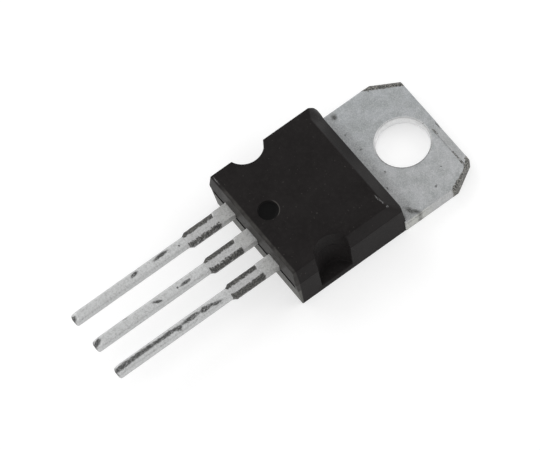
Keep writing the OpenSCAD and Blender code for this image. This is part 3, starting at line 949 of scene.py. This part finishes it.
def tab_plating():
    """The tab's plating: bluer on the left, darker near the body, with lighter walls, painted light
    on the hole's wall, a painted highlight and shade on its rim, and a painted shade line at the
    crease.
    """
    g = Graph("tinned_tab_plating")
    cloud = g.noise(0.5, 4, 0.6, offset=50)
    side = g.steps(g.plus(g.x, g.times(cloud, 4.0)), -1.5, 4.5)
    base = g.mix(side, grey(174, (0.985, 1.005, 1.02)), grey(180, (0.99, 1.0, 1.01)))
    broad = g.steps(g.noise(0.9, 2, 0.5, offset=70), 0.35, 0.65)
    base = g.mix(g.times(broad, 0.5), base, grey(146, (0.98, 1.01, 1.005)))
    # Darker towards the body.
    shaken_y = g.plus(g.y, g.times(g.noise(1.6, 3, 0.6, offset=60), 0.9))
    near_body = g.steps(shaken_y, -1.6, -2.4)
    base = g.mix(g.times(near_body, 0.42), base, grey(124))
    scratch = g.node("ShaderNodeTexNoise")
    turned = g.node("ShaderNodeMapping")
    g.link(g.mm, turned.inputs[0])
    turned.inputs["Rotation"].default_value = (0, 0, math.radians(45))
    turned.inputs["Scale"].default_value = (1.2, 16, 1)
    g.link(turned.outputs[0], scratch.inputs["Vector"])
    scratch.inputs["Scale"].default_value = 1.0
    lines = g.steps(scratch.outputs["Fac"], 0.66, 0.76)
    base = g.mix(g.times(lines, 0.25), base, grey(214))
    from_axis = g.vector("LENGTH", g.vector("MULTIPLY", g.mm, (1, 1, 0)), (0, 0, 0))
    # Painted highlight and painted shade on the hole's rim: paler on its left side, darker on its
    # right.
    painted_rim_light = g.steps(g.absolute(g.minus(from_axis, HOLE_R + 0.06)), 0.09, 0.04)
    rim_shaded_side = g.steps(g.minus(g.x, g.times(g.y, 0.45)), -1.0, 1.4)
    base = g.mix(g.times(painted_rim_light, 0.7), base, g.mix(rim_shaded_side, grey(216), grey(92)))
    # Coined strip along the tab's end: a little paler, with a fine dark line of painted shade at
    # its crease.
    past = g.minus(g.y, TAB_END - COIN_W - 0.02)
    coined = g.times(g.steps(past, 0.0, 0.1), g.steps(g.x, 0.2, 1.2))
    base = g.mix(g.times(coined, 0.2), base, grey(196, (1.01, 1, 0.99)))
    shade_line = g.times(g.steps(g.absolute(past), 0.075, 0.025), g.steps(g.x, 0.2, 0.6))
    faint = g.steps(g.noise(3, 2, 0.5, offset=90), 0.3, 0.6, 0.25, 0.65)
    base = g.mix(g.times(shade_line, faint), base, grey(112))
    upright = g.node("ShaderNodeSeparateXYZ")
    g.link(g.node("ShaderNodeNewGeometry").outputs["True Normal"], upright.inputs[0])
    wall = g.steps(g.absolute(upright.outputs[2]), 0.5, 0.2)
    dull = g.times(g.steps(g.noise(7, 3, 0.65, offset=80), 0.4, 0.62), g.steps(from_axis, 2.2, 2.4))
    # The outer walls are a little lighter near the body.
    outside = g.mix(g.steps(g.y, -0.8, -2.2), grey(180), grey(190, (1, 1, 0.965)))
    # The hole's wall is burnished metal, and its near-white grey is also painted light that the
    # floor bounces into the hole.
    wall_grey = g.mix(g.steps(from_axis, 2.2, 2.4), grey(248), outside)
    base = g.mix(g.times(wall, g.steps(dull, 0, 1, 0.88, 0.4)), base, wall_grey)
    torn = g.times(g.steps(g.absolute(g.minus(g.z, 0.9)), 0.12, 0.05), g.steps(g.y, -1.3, -1.8))
    torn = g.times(torn, g.steps(g.noise(4, 3, 0.6, offset=85), 0.4, 0.55))
    base = g.mix(g.times(g.times(torn, wall), 0.7), base, grey(84))
    return tin(g, base, 2.4, 0.13, 0.34, TAB_MARKS, (84, 0.75, 0.65), (44, 156))


def lead_plating():
    """The leads' plating: bright on the slender length, duller on the wide one and at the body."""
    g = Graph("tinned_lead_plating")
    cloud = g.noise(0.7, 4, 0.6, offset=50)
    along = g.plus(g.y, g.times(g.minus(cloud, 0.5), 1.6))
    base = g.mix(g.steps(along, -17.0, -16.2), grey(197, (0.995, 1, 1)), grey(182))
    base = g.mix(g.steps(along, -14.1, -13.5), base, grey(184, (1, 1, 0.99)))
    return tin(g, base, 7.0, 0.42, 0.34, LEAD_MARKS, (60, 0.35, 0.35), (42, 104))


def mould_compound():
    """Near-black moulding compound: fine grain, dark dimple with a painted highlight on its rim,
    pale chips, and a streaky lead side with painted reflection and a painted shadow line.
    """
    g = Graph("moulding_compound")
    cloud = g.noise(0.35, 3, 0.6)
    mottle = g.noise(3.2, 4, 0.6, offset=4)
    grain = g.noise(16, 3, 0.65, offset=8)
    base = g.mix(g.steps(cloud, 0.3, 0.7), grey(30, (1.0, 0.93, 0.93)), grey(35, (1.0, 0.94, 0.94)))
    base = g.mix(g.times(g.steps(mottle, 0.4, 0.75), 0.5), base, grey(41, (1, 0.95, 0.94)))
    base = g.mix(g.times(g.steps(grain, 0.5, 0.8), 0.45), base, grey(54, (1, 0.96, 0.93)))
    dust = g.times(g.steps(g.noise(6.5, 1, 0.4, offset=15), 0.73, 0.78), 0.3)
    base = g.mix(dust, base, grey(96, (1, 0.98, 0.94)))
    away = g.vector("DISTANCE", g.mm, (DIMPLE[0], DIMPLE[1], BODY_H - DIMPLE_DEEP))
    floor = g.steps(away, 0.78, 0.66)
    base = g.mix(floor, base, grey(17))
    # The dimple's rim has a painted highlight on its tab side, a little paler there.
    ring = g.steps(g.absolute(g.minus(away, DIMPLE_R + 0.05)), 0.05, 0.02)
    marked_share = g.steps(g.plus(g.y, g.times(g.x, 0.35)), -10.75, -10.5)
    base = g.mix(g.times(g.times(ring, marked_share), 0.7), base, grey(80, (1, 0.97, 0.93)))
    # Small pale chips along the top's edge.
    chips = g.times(g.blots(CHIPS, 0.3, 0.5), g.steps(g.z, 4.2, 4.35))
    base = g.mix(g.times(chips, g.steps(g.noise(13, 3, 0.7, offset=33), 0.4, 0.5)), base, grey(118))
    # Lead side: lighter in streaks, partly dust and partly painted reflection; a dark line under
    # the parting that is a painted shadow of the parting step; and a pale strip below it that is
    # painted reflection.
    lead_side = g.steps(g.y, -12.4, -12.5)
    streak = g.noise(1.0, 3, 0.6, stretch=(1.6, 1, 14), offset=25)
    below = g.minus(g.plus(PART_Z, g.times(streak, 0.05)), g.z)
    shade_line = g.times(lead_side, g.steps(g.absolute(g.minus(below, 0.42)), 0.5, 0.38))
    shade_line = g.times(shade_line, g.steps(g.absolute(g.x), 4.9, 4.7))
    strip = g.times(lead_side, g.steps(below, 0.8, 1.0))
    pale = g.times(lead_side, g.steps(g.x, -3.9, -3.0, 0.15, 1.0))
    pale = g.times(pale, g.steps(streak, 0.3, 0.7, 0.3, 0.9))
    base = g.mix(pale, base, grey(72, (1, 0.98, 0.95)))
    strip = g.times(strip, g.steps(streak, 0.3, 0.7, 0.3, 0.7))
    base = g.mix(strip, base, grey(118, (1, 1, 0.96)))
    base = g.mix(shade_line, base, grey(9))
    g.set(Base_Color=base)
    gloss = g.times(g.minus(1.0, shade_line), g.steps(lead_side, 0, 1, 0.04, 0.05))
    g.set(Specular_IOR_Level=gloss)
    rough = g.plus(g.times(mottle, 0.14), g.steps(lead_side, 0, 1, 0.38, 0.33))
    g.set(Roughness=g.minus(rough, g.times(floor, 0.14)))
    fine = g.bump(grain, 0.014, 0.45)
    g.set(Normal=g.bump(mottle, 0.03, 0.3, fine))
    return g.material


def inner_metal(name, colour, rough):
    """Bond wire, solder and chip surfaces, which the body hides."""
    g = Graph(name)
    grain = g.noise(18, 3, 0.6)
    g.set(Base_Color=g.mix(grain, grey(colour - 14), grey(colour + 14)), Metallic=0.9)
    g.set(Roughness=g.plus(g.times(grain, 0.2), rough))
    g.set(Normal=g.bump(grain, 0.006, 0.4))
    return g.material


def dress(obj, *materials):
    obj.data.materials.clear()
    for material in materials:
        obj.data.materials.append(material)


# Build

tab_tin = tab_plating()
lead_tin = lead_plating()
compound = mould_compound()

frame_piece = build_frame()
leads = [build_side_lead(-1), build_side_lead(1)]
mould = build_mould()

for piece, sharp in ((frame_piece, 50), (leads[0], 50), (leads[1], 50), (mould, 38)):
    finish_piece(piece, sharp)

dress(frame_piece, tab_tin, lead_tin)
for face in frame_piece.data.polygons:
    face.material_index = 1 if face.center.y < -BODY_END * MM else 0
for piece in leads:
    dress(piece, lead_tin)
dress(mould, compound)

dress(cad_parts["die"], inner_metal("silicon", 92, 0.25))
dress(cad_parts["die_solder"], inner_metal("soft_solder", 168, 0.4))
for node in ("input_wire", "output_wire", "ground_wire"):
    dress(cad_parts[node], inner_metal("bond_wire_" + node, 200, 0.3))

for piece, node, slot in (
    (frame_piece, "tab_frame", "tinned_tab"), (leads[0], "input_lead", "tinned_lead"),
    (leads[1], "output_lead", "tinned_lead"), (mould, "mould_body", "mould"),
):
    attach(piece, "root")
    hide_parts(node)


# Stage

FLOOR_GREY = 0.55        # how much light the floor gives back, so that it keeps the object's shadow
FLOOR_GLOW = 0.54        # added for the camera, which brings the lit floor to white
BOUNCE_GREY = 0.8        # the floor as the object's other light sees it
FLOOR_GAP = 0.000002
WORLD_LIGHT = 0.6
WORLD_SEEN = 1.0
LIT_POINT = Vector((0, -0.011, 0))


def floor_material():
    """Plain pale floor, white to the camera apart from the object's shadow."""
    material = bpy.data.materials.new("pale_floor")
    material.use_nodes = True
    nodes, links = material.node_tree.nodes, material.node_tree.links
    nodes.clear()

    def joined(kind, a, b, slots=(0, 1), **settings):
        made = nodes.new(kind)
        for key, value in settings.items():
            setattr(made, key, value)
        links.new(a, made.inputs[slots[0]])
        links.new(b, made.inputs[slots[1]])
        return made

    def plain(kind, colour):
        made = nodes.new(kind)
        made.inputs["Color"].default_value = (colour, colour, colour, 1)
        return made

    path = nodes.new("ShaderNodeLightPath").outputs
    seen = path["Is Camera Ray"]
    for ray in ("Is Glossy Ray", "Is Transmission Ray"):
        seen = joined("ShaderNodeMath", seen, path[ray], operation="MAXIMUM").outputs[0]
    glow = plain("ShaderNodeEmission", 1)
    glow.inputs["Strength"].default_value = FLOOR_GLOW
    lit = plain("ShaderNodeBsdfDiffuse", FLOOR_GREY)
    pale = joined("ShaderNodeAddShader", lit.outputs[0], glow.outputs[0])
    bounce = plain("ShaderNodeBsdfDiffuse", BOUNCE_GREY)
    choose = joined("ShaderNodeMixShader", bounce.outputs[0], pale.outputs[0], slots=(1, 2))
    links.new(seen, choose.inputs[0])
    links.new(choose.outputs[0], nodes.new("ShaderNodeOutputMaterial").inputs["Surface"])
    return material


floor_mesh = bpy.data.meshes.new("floor")
floor_mesh.from_pydata([(-1, -1, 0), (1, -1, 0), (1, 1, 0), (-1, 1, 0)], [], [(0, 1, 2, 3)])
floor = bpy.data.objects.new("floor", floor_mesh)
bpy.context.scene.collection.objects.link(floor)
floor.location.z = -FLOOR_GAP
floor.data.materials.append(floor_material())

world = bpy.data.worlds.new("studio")
bpy.context.scene.world = world
world.use_nodes = True
tree = world.node_tree
background = tree.nodes["Background"]
seen = tree.nodes.new("ShaderNodeLightPath")
level = tree.nodes.new("ShaderNodeMapRange")
level.inputs["To Min"].default_value = WORLD_LIGHT
level.inputs["To Max"].default_value = WORLD_SEEN
tree.links.new(seen.outputs["Is Camera Ray"], level.inputs[0])
tree.links.new(level.outputs[0], background.inputs["Strength"])
background.inputs["Color"].default_value = (1, 1, 1, 1)


def soft_light(name, place, size, power):
    """A square soft box that faces the middle of the part."""
    data = bpy.data.lights.new(name, "AREA")
    data.shape = "SQUARE"
    data.size = size
    data.energy = power
    lamp = bpy.data.objects.new(name, data)
    bpy.context.scene.collection.objects.link(lamp)
    lamp.location = place
    aim = LIT_POINT - Vector(place)
    lamp.rotation_mode = "QUATERNION"
    lamp.rotation_quaternion = aim.to_track_quat("-Z", "Y")


soft_light("soft_left", (-0.3, -0.1, 0.22), 0.3, 0.5)
soft_light("soft_back", (0.1, 0.32, 0.22), 0.3, 0.5)
soft_light("soft_front", (0.2, -0.3, 0.2), 0.3, 0.3)

# Camera at the photograph's viewing angle.
AZIMUTH, ELEVATION, ROLL = math.radians(65.323), math.radians(62.362), math.radians(-13.154)
DISTANCE = 0.30568
FOCAL_PIXELS, FRAME_PIXELS, SENSOR = 4412.6, 540, 36
TARGET = Vector((-0.001297, -0.010709, 0))
flat = math.cos(ELEVATION)
back = Vector((math.sin(AZIMUTH) * flat, -math.cos(AZIMUTH) * flat, math.sin(ELEVATION)))
level_right = (-back).cross(Vector((0, 0, 1))).normalized()
level_up = level_right.cross(-back)
right = math.cos(ROLL) * level_right + math.sin(ROLL) * level_up
up = -math.sin(ROLL) * level_right + math.cos(ROLL) * level_up
camera_data = bpy.data.cameras.new("camera")
camera_data.sensor_width = SENSOR
camera_data.lens = FOCAL_PIXELS / FRAME_PIXELS * SENSOR
camera_data.clip_start, camera_data.clip_end = 0.01, 10
camera = bpy.data.objects.new("camera", camera_data)
bpy.context.scene.collection.objects.link(camera)
pose = Matrix((right, up, back)).transposed().to_4x4()
pose.translation = TARGET + back * DISTANCE
camera.matrix_world = pose
bpy.context.scene.camera = camera
bpy.context.scene.view_settings.view_transform = "Standard"
